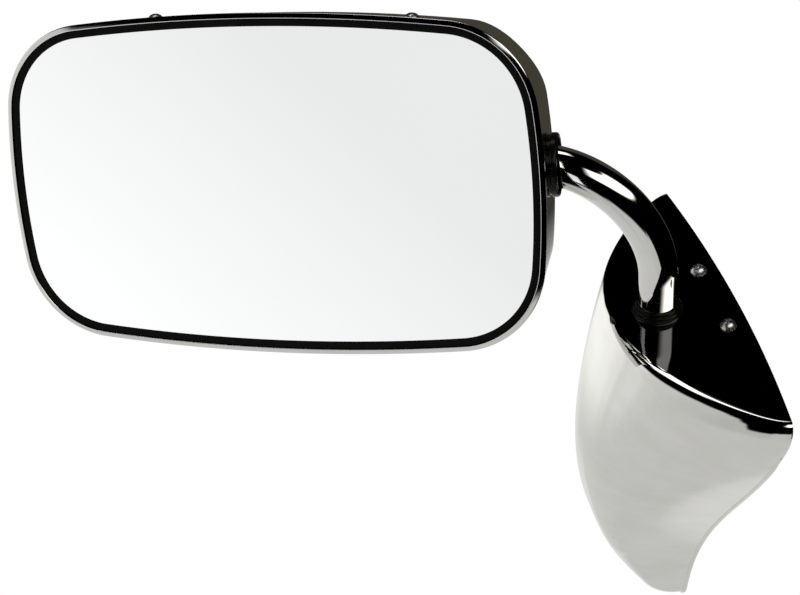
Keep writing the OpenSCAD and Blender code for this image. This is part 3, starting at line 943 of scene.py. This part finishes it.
def dress_nodes(materials):
    """Puts each slot's material on the CAD nodes and softens their edges."""
    for node, obj in nodes.items():
        obj.data.materials.clear()
        obj.data.materials.append(materials[slot_of[node]])
        soften_edges(obj, 0.25, 35)


def paint_shade_on_top(cover, mat):
    """The flat top's outer skin takes the chrome with painted shade, darker to the camera only."""
    cover.data.materials.append(mat)
    for p in cover.data.polygons:
        at = BASE.inverted() @ p.center
        if p.normal.dot(swivel_axis) > 0.9995 and abs(at.z) < 0.3 * MM:
            p.material_index = 1


# ---------------------------------------------------------------- world, floor, lights, camera

def calc(tree, how, *values):
    """Math node on numbers or on other nodes' outputs."""
    node = add(tree, "ShaderNodeMath", operation=how)
    for value, socket in zip(values, node.inputs):
        if isinstance(value, (int, float)):
            socket.default_value = value
        else:
            tree.links.new(value, socket)
    return node.outputs[0]


def step(tree, value, low, high):
    """0 below low, 1 above high, smooth between; low > high falls instead."""
    node = add(tree, "ShaderNodeMapRange", interpolation_type="SMOOTHSTEP")
    tree.links.new(value, node.inputs["Value"])
    a, b = (low, high) if low < high else (high, low)
    node.inputs["From Min"].default_value = a
    node.inputs["From Max"].default_value = b
    node.inputs["To Min"].default_value = 0 if low < high else 1
    node.inputs["To Max"].default_value = 1 if low < high else 0
    return node.outputs["Result"]


def curve(tree, azimuth, points):
    """Smooth curve through (azimuth, level) points all the way round."""
    ramp = add(tree, "ShaderNodeValToRGB")
    ramp.color_ramp.interpolation = "EASE"
    stops = ramp.color_ramp.elements
    while len(stops) < len(points):
        stops.new(0.5)
    for stop, (angle, level) in zip(stops, points):
        stop.position = (angle + 180) / 360
        stop.color = (level, level, level, 1)
    turn = calc(tree, "DIVIDE", calc(tree, "SUBTRACT", azimuth, -180), 360)
    tree.links.new(turn, ramp.inputs["Fac"])
    return ramp.outputs["Color"]


def box_light(tree, azimuth, elevation, across, up, soft_across, soft_up):
    """Rectangle in the sky between two azimuths and two elevations, 1 inside and 0 outside."""
    inside = None
    for angle, (low, high), soft in ((azimuth, across, soft_across), (elevation, up, soft_up)):
        for edge, way in ((low, 1), (high, -1)):
            part = step(tree, angle, edge - way * soft, edge + way * soft)
            inside = part if inside is None else calc(tree, "MULTIPLY", inside, part)
    return inside


def angles(tree, direction):
    """Azimuth from +Y towards +X and elevation of a direction, in degrees."""
    split = add(tree, "ShaderNodeSeparateXYZ")
    tree.links.new(direction, split.inputs[0])
    x, y, z = split.outputs
    degrees = 180 / math.pi
    return (calc(tree, "MULTIPLY", calc(tree, "ARCTAN2", x, y), degrees),
            calc(tree, "MULTIPLY", calc(tree, "ARCSINE", z), degrees))


def make_world():
    """What the bright metal reflects: a white table and cards low down, a dark room above with
    a dull olive wall, and two soft lights. The camera itself sees plain white."""
    world = bpy.data.worlds.new("studio")
    bpy.context.scene.world = world
    world.use_nodes = True
    tree = world.node_tree
    tree.nodes.clear()
    coords = add(tree, "ShaderNodeTexCoord")
    azimuth, elevation = angles(tree, coords.outputs["Generated"])
    # the main light lies across azimuth 180, so its azimuth is counted from 0 to 360
    behind = calc(tree, "MODULO", calc(tree, "ADD", azimuth, 360), 360)

    # elevation of the edge between the white surroundings and the dark room, at each azimuth
    edge_at = ((-180, -8), (-163, -8), (-147, -12), (-140, -18), (-134, -20), (-129, -20),
               (-124, 2), (-118, 17), (-110, 25), (-98, 30), (-84, 32), (-70, 32),
               (-63, 30), (-60, 25), (-56, 22), (-48, 22), (-40, 12), (-30, -3), (-18, -16),
               (-8, -28), (8, -34), (60, -38), (110, -36), (150, -36), (165, -30), (180, -4))
    edge_level = curve(tree, azimuth, [(a, (e + 90) / 180) for a, e in edge_at])
    edge = calc(tree, "SUBTRACT", calc(tree, "MULTIPLY", edge_level, 180), 90)
    below = calc(tree, "SUBTRACT", edge, elevation)
    white = step(tree, below, -3, 5)
    # brightness of the cards and of the table, at each azimuth
    walls = curve(tree, azimuth, (
        (-180, 0.52), (-150, 0.56), (-136, 0.50), (-122, 0.50), (-108, 0.56), (-90, 0.61),
        (-79, 0.66), (-72, 0.74), (-65, 0.74), (-60, 0.72), (-54, 0.84), (-42, 0.96),
        (-28, 1.04), (-10, 1.04), (20, 0.85), (60, 0.70), (180, 0.52)))
    table = curve(tree, azimuth, ((-180, 0.58), (-120, 0.58), (-90, 0.60), (-20, 0.64), (0, 0.75),
                                  (60, 0.70), (120, 0.60), (180, 0.58)))
    down = step(tree, elevation, -30, -46)
    level = calc(tree, "ADD", calc(tree, "MULTIPLY", walls, calc(tree, "SUBTRACT", 1.0, down)),
                 calc(tree, "MULTIPLY", table, down))
    low = calc(tree, "MULTIPLY", white, level)

    main = box_light(tree, behind, elevation, (100, 207), (43, 72), 9, 3)
    strip = box_light(tree, azimuth, elevation, (-45, 14), (50, 63), 6, 2)
    olive = box_light(tree, azimuth, elevation, (10, 48), (-36, 28), 6, 6)

    colour = None
    for amount, tint in ((low, (1.0, 0.995, 0.97)), (main, (1.9, 1.85, 1.7)),
                         (strip, (1.7, 1.65, 1.55)), (olive, (0.052, 0.048, 0.036))):
        layer = add(tree, "ShaderNodeVectorMath", operation="SCALE")
        layer.inputs[0].default_value = tint
        tree.links.new(amount, layer.inputs["Scale"])
        if colour is None:
            colour = layer.outputs[0]
        else:
            top = add(tree, "ShaderNodeVectorMath", operation="MAXIMUM")
            tree.links.new(colour, top.inputs[0])
            tree.links.new(layer.outputs[0], top.inputs[1])
            colour = top.outputs[0]

    path = add(tree, "ShaderNodeLightPath")
    mix = add(tree, "ShaderNodeMix", data_type="RGBA")
    mix.inputs[7].default_value = (1, 1, 1, 1)
    tree.links.new(path.outputs["Is Camera Ray"], mix.inputs[0])
    tree.links.new(colour, mix.inputs[6])
    back = add(tree, "ShaderNodeBackground")
    tree.links.new(mix.outputs[2], back.inputs["Color"])
    out = add(tree, "ShaderNodeOutputWorld")
    tree.links.new(back.outputs[0], out.inputs["Surface"])


CARD_FACING = Vector((-0.788, -0.616, 0.0))
CARD_AHEAD = 0.14        # metres in front of the glass
CARD_SIZE = (0.32, 0.26, 1)
FLOOR_GAP = 0.03         # metres below the part
FLOOR_HALF = 6


def stage_plane(name, half):
    """Square plane of the stage with an empty material, and that material's tree."""
    bm = bmesh.new()
    bmesh.ops.create_grid(bm, x_segments=1, y_segments=1, size=half)
    plane = object_from(bm, name)
    mat, tree, shader = material(name)
    tree.nodes.remove(shader)
    plane.data.materials.append(mat)
    plane.visible_diffuse = False
    return plane, tree


def make_card():
    """White card in front of the mirror glass. It shows only in reflections, and only to rays
    that meet it nearly square on, so the glass shows it and the other metal hardly does."""
    card, tree = stage_plane("card", 0.5)
    card.scale = CARD_SIZE
    card.rotation_euler = (-CARD_FACING).to_track_quat("Z", "Y").to_euler()
    card.location = HEAD.translation + CARD_FACING * CARD_AHEAD
    card.visible_camera = False
    card.visible_shadow = False

    seen = add(tree, "ShaderNodeNewGeometry")
    ray = add(tree, "ShaderNodeVectorMath", operation="SCALE")
    ray.inputs["Scale"].default_value = -1
    tree.links.new(seen.outputs["Incoming"], ray.inputs[0])
    dot = add(tree, "ShaderNodeVectorMath", operation="DOT_PRODUCT")
    tree.links.new(ray.outputs[0], dot.inputs[0])
    dot.inputs[1].default_value = CARD_FACING
    square_on = step(tree, dot.outputs["Value"], 0.955, 0.975)

    # it grows whiter towards the glass's lower left
    azimuth, elevation = angles(tree, ray.outputs[0])
    place = calc(tree, "ADD", calc(tree, "ADD", azimuth, 128.0),
                 calc(tree, "MULTIPLY", elevation, -2.0))
    glow = add(tree, "ShaderNodeEmission")
    tree.links.new(spread(tree, place, 0.85, 1.03, -6, 13), glow.inputs["Strength"])

    clear = add(tree, "ShaderNodeBsdfTransparent")
    mix = add(tree, "ShaderNodeMixShader")
    tree.links.new(square_on, mix.inputs[0])
    tree.links.new(clear.outputs[0], mix.inputs[1])
    tree.links.new(glow.outputs[0], mix.inputs[2])
    tree.links.new(mix.outputs[0], tree.nodes["Material Output"].inputs["Surface"])


def make_floor():
    """Plain white floor that neither the metal nor the shading of the part picks up."""
    floor, tree = stage_plane("floor", FLOOR_HALF)
    floor.location = (0, 0, cad_box[0][2] - FLOOR_GAP)
    floor.visible_glossy = False
    glow = add(tree, "ShaderNodeEmission")
    glow.inputs["Color"].default_value = (1, 1, 1, 1)
    tree.links.new(glow.outputs[0], tree.nodes["Material Output"].inputs["Surface"])


LAMP_SIZE = 0.8


def make_lights():
    """Soft fill for the plastic and rubber parts; the metal doesn't show it."""
    centre = (Vector(cad_box[0]) + Vector(cad_box[1])) / 2
    for name, spot, power in (("fill_left", (-0.9, -0.9, 0.9), 9),
                              ("fill_right", (0.9, -0.3, 0.8), 6),
                              ("fill_back", (0.2, 1.2, 0.7), 5)):
        data = bpy.data.lights.new(name, "AREA")
        data.shape = "DISK"
        data.size = LAMP_SIZE
        data.energy = power
        lamp = bpy.data.objects.new(name, data)
        lamp.location = centre + Vector(spot)
        lamp.rotation_euler = Vector(spot).to_track_quat("Z", "Y").to_euler()
        lamp.visible_glossy = False
        bpy.context.scene.collection.objects.link(lamp)


CAMERA_AT = Vector((-365.0, -685.2, 656.2)) * MM
CAMERA_DIR = Vector((0.2164, 0.7463, -0.6295))
CAMERA_ROLL = math.radians(5.26)
LENS = 90                # on a 36 mm wide sensor


def make_camera():
    data = bpy.data.cameras.new("camera")
    data.lens = LENS
    data.sensor_width = 36
    data.clip_start = 0.01
    camera = bpy.data.objects.new("camera", data)
    camera.location = CAMERA_AT
    turn = CAMERA_DIR.to_track_quat("-Z", "Y")
    camera.rotation_euler = (turn @ Matrix.Rotation(CAMERA_ROLL, 3, "Z").to_quaternion()).to_euler()
    bpy.context.scene.collection.objects.link(camera)
    bpy.context.scene.camera = camera


# ---------------------------------------------------------------- build

materials = make_materials()
dress_nodes(materials)
cover = make_cover()
pieces = [
    cover,
    make_cover_edge(),
    make_shell(),
    make_rim(),
    make_seal(),
    make_collar(),
    make_tube(),
    make_base_ring(),
    make_screws("cover_screw_pair", COVER_SCREWS, (0.6, 0.25), (4, 3.1, 2.5, 12),
                "base", "cover_screws"),
    make_screws("shell_screw_pair", SHELL_SCREWS, (0.3, 0.9), (3.7, 2.2, 2, 9),
                "head", "shell_screws"),
    make_spring(),
]
for piece in pieces:
    piece.data.materials.clear()
    piece.data.materials.append(materials[piece["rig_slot"]])
# painted shade on the cover's flat top
paint_shade_on_top(cover, materials["camera_shaded_top"])

make_world()
make_card()
make_floor()
make_lights()
make_camera()
view = bpy.context.scene.view_settings
view.view_transform = "Standard"
view.look = "None"
